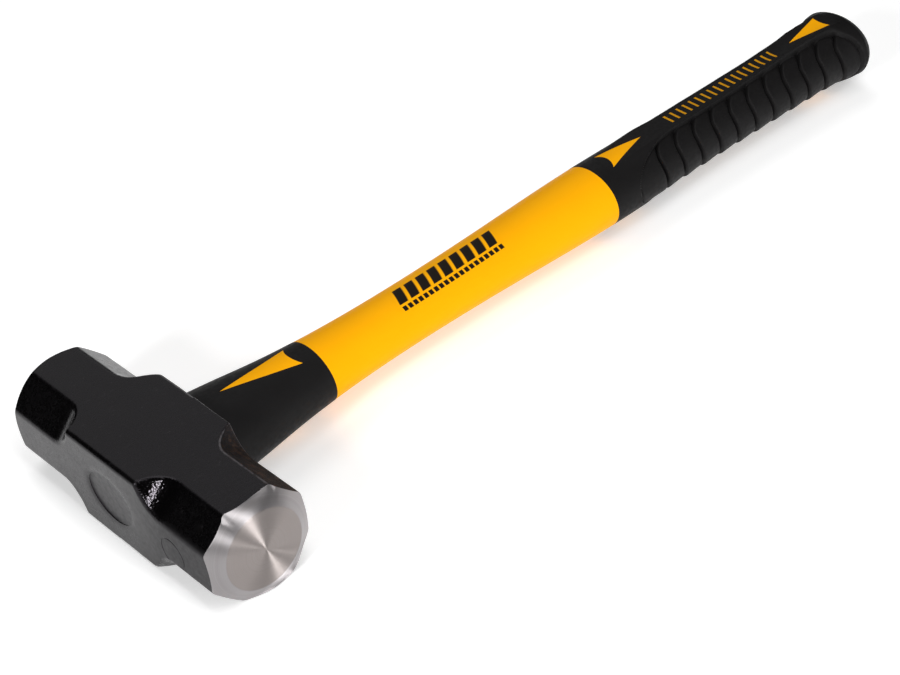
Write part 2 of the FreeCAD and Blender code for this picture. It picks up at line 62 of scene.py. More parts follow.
MM = 0.001
HEAD_LOW, HEAD_HIGH = (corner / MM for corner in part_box("hammer_head"))
HALF_WIDTH = (HEAD_HIGH.x - HEAD_LOW.x) / 2
HALF_LENGTH = (HEAD_HIGH.y - HEAD_LOW.y) / 2
HALF_HEIGHT = (HEAD_HIGH.z - HEAD_LOW.z) / 2
AXIS_HEIGHT = (HEAD_HIGH.z + HEAD_LOW.z) / 2
BUTT_END = CAD_HIGH.x / MM
GRIP_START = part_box("grip_sleeve")[0].x / MM
COLLAR_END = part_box("overstrike_collar")[1].x / MM
ROOT2 = math.sqrt(2.0)

# Head: corner flats, their run-out arcs, and the radii of the long edges.
FLAT_DISTANCE = 21.5
FLAT_START = 34.0
RUNOUT_RADIUS = 13.3
END_EDGE_RADIUS = 0.8
MIDDLE_EDGE_RADIUS = 0.8
SOFT_EDGE_RADIUS = 2.1
# The fuller corners: how much further along the head their run-outs lie, how far out they reach,
# and the length over which the shoulder is blended. The handle side swells beside one of them.
FULLER = 1.8
SHOULDER_REACH = 29.4
SHOULDER_BLEND = 2.8
SWELL = 0.8
# Rings of the head are placed up to NOMINAL_END, and those past STRETCH_START are stretched to
# meet the turned ends.
NOMINAL_END = 60.0
STRETCH_START = 50.0
# Turned ends: the crowned disc, the spot at its middle, and the rounded rim.
DISC_RADIUS = 16.3
CROWN_RISE = 0.8
SPOT_DEPTH = 0.15
SPOT_RADIUS = 0.5
RIM_RADIUS = 0.35
# Bare steel: faces beyond this place along the head, within this radius, that lean at least this
# much along it.
TURNED_BEYOND = 55.0
TURNED_WITHIN = 25.0
TURNED_LEAN = 0.2
# The head's skin lies between these distances from its long axis, and is found by halving.
SKIN_BRACKET = (12.0, 34.0)
HALVINGS = 34
HEAD_RINGS = 188
# The turned bevel of each end: a radius, the distance along the head there, and the slope.
BEVELS = {
    -1: (DISC_RADIUS, HALF_LENGTH - CROWN_RISE, math.tan(math.radians(33.0))),
    1: (20.2, HALF_LENGTH - 1.8, 1.0),
}
# Half width and half thickness of the eye at its mouths and in its middle, and of the core. The
# tool that cuts the eye reaches a little past both mouths.
EYE_MOUTH = (13.2, 10.6)
EYE_THROAT = (12.2, 9.8)
CORE_HALF = (10.4, 7.9)
EYE_COLUMNS = 120
EYE_TOOL_EXTRA = 4.0
CORE_TOP_COVER = 3.3
CORE_BUTT_COVER = 12.0
# The resin's top: how deep it lies, how far its middle is dished and its edge creeps up.
RESIN_RECESS = 1.0
RESIN_DISH = 0.18
RESIN_CREEP = 0.35
STAMP = {"y": -38.0, "z": -3.5, "radius": 6.5, "line": 0.28}

# Handle sections: station, half width along Y, half thickness along Z.
SECTIONS = np.array([
    (21.5, 20.6, 17.2),
    (37.0, 19.0, 15.6),
    (53.0, 17.0, 13.8),
    (73.0, 15.0, 12.4),
    (122.0, 13.6, 11.2),
    (172.0, 14.6, 12.1),
    (222.5, 16.1, 13.3),
    (262.0, 14.9, 13.8),
    (305.0, 14.9, 13.8),
    (345.0, 15.9, 14.0),
    (358.0, 16.1, 14.5),
    (367.0, 17.3, 14.8),
    (376.2, 18.9, 15.0),
])
BUTT_ROUND = 10.6
BUTT_START = math.radians(24.0)
BUTT_ROWS = 16
BUTT_WALL = 9.0
RUBBER = 2.8
# The jacket shows this far below the rubber's surface. The forms that the handle's pieces are cut
# with start this far inside the head.
SKIN_INSET = 0.05
SKIN_EXTRA = 3.0
INNER_EXTRA = 6.0

# Windows in the rubber: apex, base, half width of the base, depth of the base's hollow.
ARROWS = {
    "collar_arrow": (32.0, 66.0, 6.1, 2.0),
    "front_arrow": (253.0, 231.0, 5.8, 2.0),
    "rear_arrow": (345.5, 367.0, 4.8, 0.4),
}
MARKS = {"start": 269.0, "pitch": 3.8, "count": 18, "width": 1.15, "half": 3.1, "slant": 0.2}

# Grooves across the grip's side pads, and how far a groove has moved along the handle at each
# height: bent back below, hooked above.
GROOVE_START = 252.6
GROOVE_PITCH = 11.0
GROOVE_COUNT = 11
GROOVE_PATH = np.array([
    (-12.9, 4.8),
    (-7.6, 2.8),
    (-2.2, 0.8),
    (2.5, 0.0),
    (7.0, -0.5),
    (9.0, -0.4),
    (11.2, 1.1),
    (12.9, 3.8),
])

# The rounded ends of the side pads: where each begins and how long it is.
PAD_FRONT = (266.0, 29.6)
PAD_BACK = (357.0, 16.3)
PAD_MIDDLE = (PAD_FRONT[0] + PAD_BACK[0]) / 2
# No point of the grip is sunk further than this.
DEEPEST = 2.6
GRIP_ROWS = 330
GRIP_COLUMNS = 224

# The strip between the pads along the upper side: station, half width, height of the oval at
# its edges, how far its middle is raised, and how much further its edges are.
STRIP = np.array([
    (228.0, 5.6, 12.7, 0.2, 1.0),
    (262.0, 5.6, 12.8, 0.2, 1.1),
    (300.0, 5.6, 12.8, 0.2, 1.1),
    (332.0, 5.6, 13.0, 0.6, 1.8),
    (350.0, 5.5, 13.3, 0.9, 1.8),
    (360.0, 5.5, 13.6, 0.75, 1.4),
    (367.0, 5.5, 13.9, 0.6, 1.3),
    (376.2, 5.5, 14.4, 0.1, 0.3),
])
# The width over which the raised strip fades out beyond its edges.
STRIP_FADE = 5.0

# Print on the jacket: a band of slanted blocks, and a dashed line beside it.
BLOCKS = {"start": 116.2, "pitch": 5.9, "share": 0.74, "low": -5.7, "high": 2.6, "lean": 0.35}
BLOCKS_END = BLOCKS["start"] + 9 * BLOCKS["pitch"] - 1.5
DASHES = {"start": 114.3, "pitch": 2.66, "share": 0.72, "low": -8.6, "high": -6.7}
DASHES_END = 167.2
PRINT_EDGE = 0.06

# Shapes that others are cut with reach this far from the handle's axis.
TOOL_REACH = 40.0

# Camera: place, then azimuth, elevation and roll in degrees, and focal length.
CAMERA_PLACE = (-0.2696, -0.5530, 0.5179)
CAMERA_TURNS = (-36.514, 37.158, -8.639)
CAMERA_LENS = 86.0

# Softboxes: direction, distance, width and height, watts, and the point that each faces.
HANDLE_POINT = (0.06, 0.0, 0.02)
LIGHTS = {
    "key": ((0.0, -0.54, 0.84), 1.6, (0.50, 1.4), 12.5, HANDLE_POINT),
    "top": ((0.10, 0.32, 0.94), 1.6, (1.2, 0.9), 6.2, HANDLE_POINT),
    "back_right": ((0.40, 0.68, 0.60), 1.6, (1.3, 1.3), 3.0, HANDLE_POINT),
    "front_left": ((-0.81, -0.30, 0.50), 1.5, (0.24, 0.32), 12.0, (0, -0.03, 0.02)),
    "front_low": ((0.15, -0.97, 0.20), 1.6, (0.20, 0.5), 9.5, (0, -0.05, 0.02)),
}
FLOOR_GAP = 0.0003


# ---------------------------------------------------------------- numbers
def smooth(value, start, end):
    """0 before start, 1 after end, and a smooth step between them."""
    t = np.clip((np.asarray(value, float) - start) / (end - start), 0.0, 1.0)
    return t * t * (3.0 - 2.0 * t)


def bump(value, centre, width):
    """A bell of height 1 at the centre."""
    return np.exp(-(((np.asarray(value, float) - centre) / width) ** 2))


def spread(start, end, count, density):
    """count + 1 stations from start to end, closer together where the density is high."""
    fine = np.linspace(start, end, 6000)
    weight = density(fine)
    total = np.concatenate([[0.0], np.cumsum((weight[1:] + weight[:-1]) / 2)])
    return np.interp(np.linspace(0.0, total[-1], count + 1), total, fine)


def round_angles(count):
    """Angles evenly spaced round a full turn."""
    return np.linspace(0, 2 * math.pi, count, endpoint=False)


def cubic(stations, values, at):
    """A natural cubic spline through the values."""
    x, y = np.asarray(stations, float), np.asarray(values, float)
    gaps = np.diff(x)
    size = len(x)
    matrix, right = np.eye(size), np.zeros(size)
    for i in range(1, size - 1):
        matrix[i, i - 1 : i + 2] = gaps[i - 1], 2 * (gaps[i - 1] + gaps[i]), gaps[i]
        right[i] = 6 * ((y[i + 1] - y[i]) / gaps[i] - (y[i] - y[i - 1]) / gaps[i - 1])
    bend = np.linalg.solve(matrix, right)
    at = np.asarray(at, float)
    i = np.clip(np.searchsorted(x, at) - 1, 0, size - 2)
    before, after, gap = at - x[i], x[i + 1] - at, gaps[i]
    curve = (bend[i] * after**3 + bend[i + 1] * before**3) / (6 * gap)
    left = (y[i] / gap - bend[i] * gap / 6) * after
    return curve + left + (y[i + 1] / gap - bend[i + 1] * gap / 6) * before


def ripple(points, scale, seed):
    """Smooth noise from -1 to 1 at each point, with features about as large as the scale."""
    shift = Vector((seed * 17.3, seed * 5.1, seed * 9.7))
    return np.array([noise.noise(Vector(p) / scale + shift) for p in points])


# ---------------------------------------------------------------- meshes
def new_object(name, vertices, faces):
    """A mesh object with outward faces, linked to the scene."""
    mesh = bpy.data.meshes.new(name)
    mesh.from_pydata(np.asarray(vertices).tolist(), [], faces)
    work = bmesh.new()
    work.from_mesh(mesh)
    bmesh.ops.recalc_face_normals(work, faces=work.faces)
    work.to_mesh(mesh)
    work.free()
    thing = bpy.data.objects.new(name, mesh)
    bpy.context.scene.collection.objects.link(thing)
    return thing


def closed_grid(name, rows):
    """A closed skin over rows of points, each row a ring, with a flat cap on each end ring."""
    rows = np.asarray(rows, float)
    count, across = rows.shape[:2]
    index = np.arange(count * across).reshape(count, across)
    here, after = index[:-1], index[1:]
    corners = [here, np.roll(here, -1, 1), np.roll(after, -1, 1), after]
    faces = np.stack(corners, -1).reshape(-1, 4).tolist()
    faces += [index[0].tolist(), index[-1].tolist()]
    return new_object(name, rows.reshape(-1, 3), faces)


def prism(name, outline):
    """An upright prism over a flat outline."""
    count = len(outline)
    vertices = [(x, y, z) for z in (-TOOL_REACH, TOOL_REACH) for x, y in outline]
    faces = [list(range(count)), list(range(count, 2 * count))]
    for i in range(count):
        j = (i + 1) % count
        faces.append([i, j, count + j, count + i])
    return new_object(name, vertices, faces)


def boolean(base, tool, operation="DIFFERENCE", keep_tool=True):
    """Combine base with the tool and store the result in base."""
    modifier = base.modifiers.new("combine", "BOOLEAN")
    modifier.operation = operation
    modifier.solver = "MANIFOLD"
    modifier.object = tool
    graph = bpy.context.evaluated_depsgraph_get()
    mesh = bpy.data.meshes.new_from_object(base.evaluated_get(graph))
    base.modifiers.clear()
    base.data = mesh
    if not len(mesh.polygons):
        raise RuntimeError(f"combining {base.name} with {tool.name} left nothing")
    if not keep_tool:
        bpy.data.objects.remove(tool)


def copy_of(thing, name):
    """A copy of an object with its own mesh."""
    copy = thing.copy()
    copy.data = thing.data.copy()
    copy.name = name
    bpy.context.scene.collection.objects.link(copy)
    return copy


def vertex_array(mesh):
    """The mesh's vertex positions as an array."""
    points = np.zeros(len(mesh.vertices) * 3)
    mesh.vertices.foreach_get("co", points)
    return points.reshape(-1, 3)


def finish_piece(thing, node, materials, crease=32.0):
    """Scale to metres, lift to the axis, shade smooth with sharp creases, and ride on the body."""
    mesh = thing.data
    mesh.transform(Matrix.Translation((0, 0, AXIS_HEIGHT * MM)) @ Matrix.Scale(MM, 4))
    mesh.materials.clear()
    for material in materials:
        mesh.materials.append(material)
    mesh.polygons.foreach_set("use_smooth", [True] * len(mesh.polygons))
    mesh.set_sharp_from_angle(angle=math.radians(crease))
    mesh.update()
    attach(thing, "root")
    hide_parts(node)


# ---------------------------------------------------------------- handle forms
def oval(x, angles, inset=0.0):
    """Points of the handle's section at each station x and angle."""
    half_y = cubic(SECTIONS[:, 0], SECTIONS[:, 1], x) - inset
    half_z = cubic(SECTIONS[:, 0], SECTIONS[:, 2], x) - inset
    y, z = half_y * np.cos(angles), half_z * np.sin(angles)
    return np.stack([np.broadcast_to(x, y.shape), y, z], -1)


def butt_rows(angles):
    """Rows from the rim over the domed butt to the middle of its end face."""
    rim = SECTIONS[-1, 0]
    rows = []
    for turn in np.linspace(BUTT_START, math.pi / 2, BUTT_ROWS):
        inset = BUTT_ROUND * (1 - math.cos(turn) / math.cos(BUTT_START))
        row = oval(np.full_like(angles, rim), angles, inset)
        bulge = (math.sin(turn) - math.sin(BUTT_START)) / (1 - math.sin(BUTT_START))
        row[:, 0] = rim + (BUTT_END - rim) * bulge
        rows.append(row)
    edge = rows[-1]
    for share in (0.85, 0.6, 0.35, 0.12, 0.02):
        row = edge * share
        row[:, 0] = BUTT_END
        rows.append(row)
    return rows


def strip_lift(x, side, height):
    """How far the strip is raised: nothing along its middle, most at its two edges."""
    half, _, rise, edge = (np.interp(x, STRIP[:, 0], STRIP[:, k]) for k in range(1, 5))
    along = smooth(x, STRIP[0, 0], 256) * (1 - smooth(x, 371.5, STRIP[-1, 0]))
    lift = rise + edge * np.minimum(side / half, 1.0) ** 2
    return lift * (1 - smooth(side, half, half + STRIP_FADE)) * along * (height > 0)


def raise_points(points, inner, lift):
    """Move points away from the matching points of a form 1 mm further in."""
    return points + (inner - points) * (-lift)[:, None]


def plain_form(name, start, end, inset, across, spacing, lifted=False):
    """The handle's outside between two stations, drawn in by the inset, with flat ends."""
    angles = round_angles(across)
    count = max(4, int((end - start) / spacing))
    rows = []
    for station in np.linspace(start, end, count):
        x = np.full_like(angles, station)
        points = oval(x, angles, inset)
        if lifted:
            lift = strip_lift(x, np.abs(points[:, 1]), points[:, 2])
            points = raise_points(points, oval(x, angles, inset + 1.0), lift)
        rows.append(points)
    return closed_grid(name, rows)


def arrow_outline(apex, base, half, hollow):
    """A triangle along the spine, whose base is hollowed by an arc."""
    towards_apex = math.copysign(1.0, apex - base)
    radius = (half**2 + hollow**2) / (2 * hollow)
    sweep = math.asin(half / radius)
    outline = [(apex, 0.0)]
    for turn in np.linspace(sweep, -sweep, 15):
        depth = radius * math.cos(turn) - (radius - hollow)
        outline.append((base + towards_apex * depth, radius * math.sin(turn)))
    return outline


def window_prisms():
    """The prisms that open the rubber over the jacket."""
    prisms = [prism(name, arrow_outline(*sizes)) for name, sizes in ARROWS.items()]
    for i in range(MARKS["count"]):
        x, half, slant = MARKS["start"] + i * MARKS["pitch"], MARKS["half"], MARKS["slant"]
        far = x + MARKS["width"]
        outline = [(x, -half), (far, -half), (far + slant, half), (x + slant, half)]
        prisms.append(prism(f"mark_{i}", outline))
    return prisms


# ---------------------------------------------------------------- head
def corner_distance(y):
    """How far the corner flats are from the head's long axis, at each place along it."""
    inward = np.clip(FLAT_START - np.abs(y), 0.0, None)
    inside = inward < RUNOUT_RADIUS
    drop = np.sqrt(np.clip(RUNOUT_RADIUS**2 - inward**2, 0.0, None))
    return np.where(inside, FLAT_DISTANCE + RUNOUT_RADIUS - drop, FLAT_DISTANCE + RUNOUT_RADIUS)


def full_corner(x, y, z):
    """1 at the far handle-side corners and the near lower corner, which are forged fuller."""
    return ((y > 0) & (x > 0)) | ((y < 0) & (x < 0) & (z < 0))


def side_planes(x, y, z):
    """Signed distances from the head's sides, its cheeks and its corner flats."""
    swell = SWELL * smooth(y, -16.0, 14.0) * (1 - smooth(y, 22.0, 32.0))
    swell = swell * (x > 0) * smooth(z, 2.0, 16.0)
    side = np.abs(x) - HALF_WIDTH - swell
    cheek = np.abs(z) - HALF_HEIGHT
    full = full_corner(x, y, z)
    offsets = np.linspace(-SHOULDER_BLEND, SHOULDER_BLEND, 9)
    nearby = [np.maximum(np.abs(y) + offset - FULLER, 0.0) for offset in offsets]
    rounded = sum(np.minimum(corner_distance(place), SHOULDER_REACH) for place in nearby) / 9
    corner = (np.abs(x) + np.abs(z)) / ROOT2 - np.where(full, rounded, corner_distance(y))
    return side, cheek, corner


def side_radius(angle, y):
    """Distance of the head's skin from its long axis, by halving the bracket."""
    soft = (np.cos(angle) < 0) & (np.sin(angle) > 0)
    middle = np.where(soft, SOFT_EDGE_RADIUS, MIDDLE_EDGE_RADIUS)
    edge = END_EDGE_RADIUS + (middle - END_EDGE_RADIUS) * (1 - smooth(np.abs(y), 18, 30))
    low, high = (np.full_like(angle, bound) for bound in SKIN_BRACKET)
    for _ in range(HALVINGS):
        middle = (low + high) / 2
        planes = side_planes(middle * np.cos(angle), y, middle * np.sin(angle))
        outside = np.sqrt(sum(np.clip(p + edge, 0, None) ** 2 for p in planes)) - edge > 0
        high = np.where(outside, middle, high)
        low = np.where(outside, low, middle)
    return (low + high) / 2


def column_angles(y):
    """Angles of the columns round the head, gathered at the edges of the corner flats."""
    reach = corner_distance(y) * ROOT2
    low = math.atan2(min(reach - HALF_WIDTH, HALF_HEIGHT), HALF_WIDTH)
    high = math.atan2(HALF_HEIGHT, min(reach - HALF_HEIGHT, HALF_WIDTH))
    middle, width = (low + high) / 2, 0.085
    inner_low = min(low + width, middle - 0.2 * width)
    inner_high = max(high - width, middle + 0.2 * width)
    knots = [0.0, low - width, inner_low, inner_high, high + width, math.pi / 2]
    counts = [24, 7, 18, 7, 24]
    parts = [np.linspace(a, b, n, endpoint=False) for a, b, n in zip(knots, knots[1:], counts)]
    quarter = np.concatenate(parts)
    mirrored = math.pi - np.append(quarter, math.pi / 2)[::-1][:-1]
    half = np.concatenate([quarter, mirrored])
    return np.concatenate([half, half + math.pi])


def end_height(radius, end):
    """How far along the head its end surface is, at each radius: crown inside, bevel outside."""
    sphere = (DISC_RADIUS**2 + CROWN_RISE**2) / (2 * CROWN_RISE)
    crown = HALF_LENGTH - sphere + np.sqrt(sphere**2 - radius**2)
    start, height, slope = BEVELS[end]
    bevel = height - (radius - start) * slope
    blend = 0.25
    close = np.clip(blend - np.abs(crown - bevel), 0, None) / blend
    spot = SPOT_DEPTH * bump(radius, 0.0, SPOT_RADIUS)
    return np.minimum(crown, bevel) - close**2 * blend / 4 - spot


def forged(rows):
    """The head's rings with shallow dents, and pressed in a little round the mouths of the eye."""
    points = rows.reshape(-1, 3)
    dent = 0.05 * ripple(points, 16.0, 1) + 0.035 * ripple(points, 5.0, 2)
    x, y, z = points.T
    oval_distance = (np.hypot(y / EYE_MOUTH[0], z / EYE_MOUTH[1]) - 1) * EYE_MOUTH[1]
    lip = 0.45 * np.exp(-np.clip(oval_distance, 0, None) / 0.9) * (np.abs(x) > HALF_WIDTH - 2)
    radius = np.hypot(x, z)
    scale = 1 - (np.clip(dent + 0.07, 0, None) + lip * np.abs(x) / radius) / radius
    return (points * np.stack([scale, np.ones_like(scale), scale], -1)).reshape(rows.shape)


def cap_rings(ring, direction):
    """Rings over the turned end that follows a side's last ring, from its rim to its middle."""
    angles = np.arctan2(ring[:, 2], ring[:, 0])
    radius, y = np.hypot(ring[:, 0], ring[:, 2]), np.abs(ring[:, 1])
    rings = []

    def add(r, height):
        """One more ring, with this radius and this far along the head."""
        r = np.broadcast_to(r, angles.shape)
        height = np.broadcast_to(height, angles.shape) * direction
        rings.append(np.stack([r * np.cos(angles), height, r * np.sin(angles)], -1))

    for turn in np.radians([15, 30, 45, 60]):
        add(radius - RIM_RADIUS * (1 - math.cos(turn)), y + RIM_RADIUS * math.sin(turn))
    start = np.hypot(rings[-1][:, 0], rings[-1][:, 2])
    start_y = np.abs(rings[-1][:, 1])
    fit = start_y - end_height(start, direction)
    for share in (0.12, 0.3, 0.5, 0.7, 0.86, 0.95):
        r = start + (DISC_RADIUS + 0.3 - start) * share
        add(r, end_height(r, direction) + fit * (1 - share) ** 2)
    inner = [16.3, 16.0, 15.6, 15.0, 14.0, 12.5, 11.0, 9.5, 8.0, 6.5, 5.0, 3.5, 2.2, 1.4]
    for r in inner + [1.0, 0.7, 0.45, 0.25, 0.1]:
        add(r, end_height(np.asarray(r), direction))
    return rings


def head_rows():
    """Rings of the head's skin from one end to the other."""
    nominal = spread(
        -NOMINAL_END,
        NOMINAL_END,
        HEAD_RINGS,
        lambda y: 1.0 + 0.9 * smooth(np.abs(y), 19, 22) * (1 - smooth(np.abs(y), 34, 37))
        + 0.9 * smooth(np.abs(y), 57, 59),
    )
    end_angles = column_angles(NOMINAL_END)
    end_radius = side_radius(end_angles, np.full_like(end_angles, STRETCH_START))
    across, up = end_radius * np.cos(end_angles), end_radius * np.sin(end_angles)
    side_end = {end: end_height(end_radius, end) - RIM_RADIUS / 2 for end in BEVELS}
    # At the near end the upper edge is drawn back, and the lower corner pushed out.
    pull = 0.7 + 1.2 * bump(across, 3.0, 7.0)
    push = 1.5 * smooth(across, -12.0, 2.0) * smooth(-up, 12.0, 19.0)
    side_end[-1] = side_end[-1] - pull * smooth(up, 18.0, 20.0) + push
    rows = []
    for y_nominal in nominal:
        angles = column_angles(y_nominal)
        end = 1 if y_nominal > 0 else -1
        over = max(0.0, abs(y_nominal) - STRETCH_START) / (NOMINAL_END - STRETCH_START)
        stretched = STRETCH_START + over * (side_end[end] - STRETCH_START)
        size = np.where(over > 0, stretched, abs(y_nominal))
        y = end * size
        radius = side_radius(angles, y)
        rows.append(np.stack([radius * np.cos(angles), y, radius * np.sin(angles)], -1))
    rows = forged(np.array(rows))
    return np.concatenate([cap_rings(rows[0], -1)[::-1], rows, cap_rings(rows[-1], 1)])


def eye_rows(inset_top, inset_bottom, angles):
    """Rings down the eye from the head-top side to the handle side."""
    rows = []
    for x in np.linspace(-HALF_WIDTH + inset_top, HALF_WIDTH - inset_bottom, 24):
        share = (x / HALF_WIDTH) ** 2
        half_y = EYE_THROAT[0] + (EYE_MOUTH[0] - EYE_THROAT[0]) * share
        half_z = EYE_THROAT[1] + (EYE_MOUTH[1] - EYE_THROAT[1]) * share
        ring = [np.full_like(angles, x), half_y * np.cos(angles), half_z * np.sin(angles)]
        rows.append(np.stack(ring, -1))
    return rows


def rod_tool(start, end):
    """A rod along the handle with the core's oval section."""
    angles = round_angles(96)
    y, z = CORE_HALF[0] * np.cos(angles), CORE_HALF[1] * np.sin(angles)
    ring = np.stack([np.zeros_like(angles), y, z], -1)
    return closed_grid("rod_tool", [ring + (x, 0, 0) for x in (start, end)])


def ring_tool(x, y, z, radius, tube):
    """A thin torus lying in the plane across X."""
    around, sides = round_angles(72), 10
    vertices, faces = [], []
    for angle in around:
        for turn in round_angles(sides):
            reach = radius + tube * math.cos(turn)
            across, up = y + reach * math.cos(angle), z + reach * math.sin(angle)
            vertices.append((x + tube * math.sin(turn), across, up))
    for i in range(len(around)):
        j = (i + 1) % len(around)
        for k in range(sides):
            m = (k + 1) % sides
            faces.append([i * sides + k, j * sides + k, j * sides + m, i * sides + m])
    return new_object("ring_tool", vertices, faces)


def build_head(paint, steel):
    """The forged head: skin, eye, stamped ring, and the attributes that its finish uses."""
    head = closed_grid("forged_head", head_rows())
    eye = eye_rows(-EYE_TOOL_EXTRA, -EYE_TOOL_EXTRA, round_angles(EYE_COLUMNS))
    boolean(head, closed_grid("eye_tool", eye), keep_tool=False)
    ring = ring_tool(-HALF_WIDTH, STAMP["y"], STAMP["z"], STAMP["radius"], STAMP["line"])
    boolean(head, ring, keep_tool=False)
    paint_attributes(head)
    finish_piece(head, "hammer_head", [paint, steel], crease=38.0)
    mark_steel(head)


def mark_steel(head):
    """Give the turned ends the second material: faces past the rim that lean along the head."""
    mesh = head.data
    for face in mesh.polygons:
        x, y, z = face.center / MM
        z -= AXIS_HEIGHT
        at_end = abs(y) > TURNED_BEYOND and math.hypot(x, z) < TURNED_WITHIN
        face.material_index = int(at_end and abs(face.normal.y) > TURNED_LEAN)


def paint_attributes(head):
    """Store how worn, rusty and coarse the paint is at each vertex."""
    x, y, z = vertex_array(head.data).T
    planes = np.sort(np.stack(side_planes(x, y, z)), axis=0)
    gap = planes[2] - planes[1]
    radius = np.clip(np.hypot(x, z), 0, 40)
    end_gap = np.abs(np.where(y > 0, end_height(radius, 1), end_height(radius, -1)) - np.abs(y))
    edge = np.maximum(bump(gap, 0, 0.36), 0.8 * bump(end_gap, 0, 0.5))
    corner = side_planes(x, y, z)[2]
    on_corner = smooth(corner, -0.8, -0.2)
    handle_side = smooth(x, 4, 9) * smooth(z, 2, 6)
    near_half = 1 - smooth(y, 20, 44)
    worn = edge * (0.25 + 0.75 * handle_side * near_half)
    rust = on_corner * smooth(x, 4, 9) * smooth(z, 0, 4) * (1 - smooth(y, -22, -16))
    runout = on_corner * (1 - smooth(np.abs(y), 33, 38)) * smooth(np.abs(y), 19, 22)
    runout = runout * np.where(y < 0, 1.0, 0.3)
    for name, values in (("worn", worn), ("rust", rust), ("coarse", runout)):
        attribute = head.data.attributes.new(name, "FLOAT", "POINT")
        attribute.data.foreach_set("value", values.astype(np.float32))


def build_resin(paint):
    """The epoxy in the eye: a dished, painted top, the eye's walls, and the hole for the rod."""
    walls = eye_rows(RESIN_RECESS, 0.0, round_angles(EYE_COLUMNS))
    walls = [row * (1.0, 0.998, 0.998) for row in walls]
    top = []
    for share in (0.02, 0.2, 0.4, 0.6, 0.75, 0.86, 0.93, 0.97, 0.99):
        row = walls[0] * (1.0, share, share)
        row[:, 0] += RESIN_DISH * (1 - share**2) - RESIN_CREEP * share**22
        top.append(row)
    walls[0][:, 0] -= RESIN_CREEP
    resin = closed_grid("eye_fill", np.array(top + walls))
    points = vertex_array(resin.data)
    wave = ripple(points, 4.0, 5) * 0.05 * (points[:, 0] < -HALF_WIDTH + 3)
    points[:, 0] += wave
    resin.data.vertices.foreach_set("co", points.ravel())
    boolean(resin, rod_tool(-HALF_WIDTH + CORE_TOP_COVER, TOOL_REACH), keep_tool=False)
    finish_piece(resin, "eye_resin", [paint])


# ---------------------------------------------------------------- grip
def pad_distance(x, z):
    """Below 1 inside the outline of the side pads, above 1 outside it."""
    front = np.clip((PAD_FRONT[0] - x) / PAD_FRONT[1], 0, None) ** 2.2
    back = np.clip((x - PAD_BACK[0]) / PAD_BACK[1], 0, None) ** 3.0
    reach = np.abs(z) / np.interp(x, STRIP[:, 0], STRIP[:, 2])
    at_front, at_back = (front + reach**2.6) ** (1 / 2.4), (back + reach**3.0) ** (1 / 3.0)
    return np.where(x < PAD_MIDDLE, at_front, at_back)


def groove_shift(z):
    """How far along the handle a groove has moved by this height."""
    heights, shifts = GROOVE_PATH.T
    return cubic(heights, shifts, np.clip(z, heights[0], heights[-1]))


def grip_stations():
    """Stations along the grip, closer together at the grooves and at the ends of the pads."""
    grooves = GROOVE_START + GROOVE_PITCH * np.arange(GROOVE_COUNT)

    def density(x):
        """How closely the stations follow each other at x."""
        close = sum(bump(x, g + 0.1, 0.9) for g in grooves)
        ends = bump(x, 240.0, 7.0) + bump(x, 369.0, 4.0)
        return 1.0 + 5.0 * close + 0.6 * ends

    return spread(GRIP_START, SECTIONS[-1, 0], GRIP_ROWS, density)


def grip_angles():
    """Angles round the grip, closer together at the edges of the side pads."""
    edge = math.radians(69.0)
    edges = (edge, math.pi - edge, math.pi + edge, 2 * math.pi - edge)

    def density(t):
        """How closely the angles follow each other at t."""
        return 1.0 + 2.2 * sum(bump(t, c, 0.14) for c in edges)

    return spread(0, 2 * math.pi, GRIP_COLUMNS, density)[:-1]


def grip_lift(station, x, side, height):
    """How far the grip's skin stands out from the oval: pads, grooves, outline and strip."""
    distance = pad_distance(x, height)
    top = np.interp(x, STRIP[:, 0], STRIP[:, 2])
    on_flank = smooth(side, 3.6, 4.6)
    pad = (1 - smooth(distance, 0.975, 1.01)) * on_flank
    flank = np.sin(np.pi * np.clip(np.abs(height) / top, 0, 1))
    # Between two grooves a pad falls away towards the butt.
    share = ((station - GROOVE_START) / GROOVE_PITCH) % 1.0
    ridged = smooth(station, 250.5, 252.8) * (1 - smooth(station, 364.0, 372.0))
    fall = 1 - smooth(share, 0.0, 0.07) * (1 - share) ** 0.9
    fall = ridged * fall + (1 - ridged) * (0.15 if station < 300 else 0.55)
    sunk = 0.40 + np.where(height > 0, 0.20, -0.15) * flank + (0.60 + 0.30 * flank) * fall
    flare = smooth(station, 356, 370)
    sunk = sunk * np.where(height > 0, 1 + 0.2 * flare * flank, 1 - 0.75 * flare * flank)
    # The grooves widen where they run out at the pad's upper edge.
    away = min(share, 1 - share) * GROOVE_PITCH
    ends_in = smooth(station, 250.8, 252.0) * (1 - smooth(station, 363.2, 364.0))
    mouth = smooth(height, top - 2.2, top - 0.3)
    groove = np.exp(-((away / (0.56 + 0.75 * mouth)) ** 2)) * ends_in
    lift = -pad * (sunk + (1.15 + 0.2 * mouth) * groove)
    line_width = 0.010 + 0.022 * smooth(x, 356, 366)
    lift = lift - 0.75 * bump(distance, 0.99, line_width) * on_flank
    lift = lift + strip_lift(x, side, height) * (1 - pad)
    return np.maximum(lift, -DEEPEST)


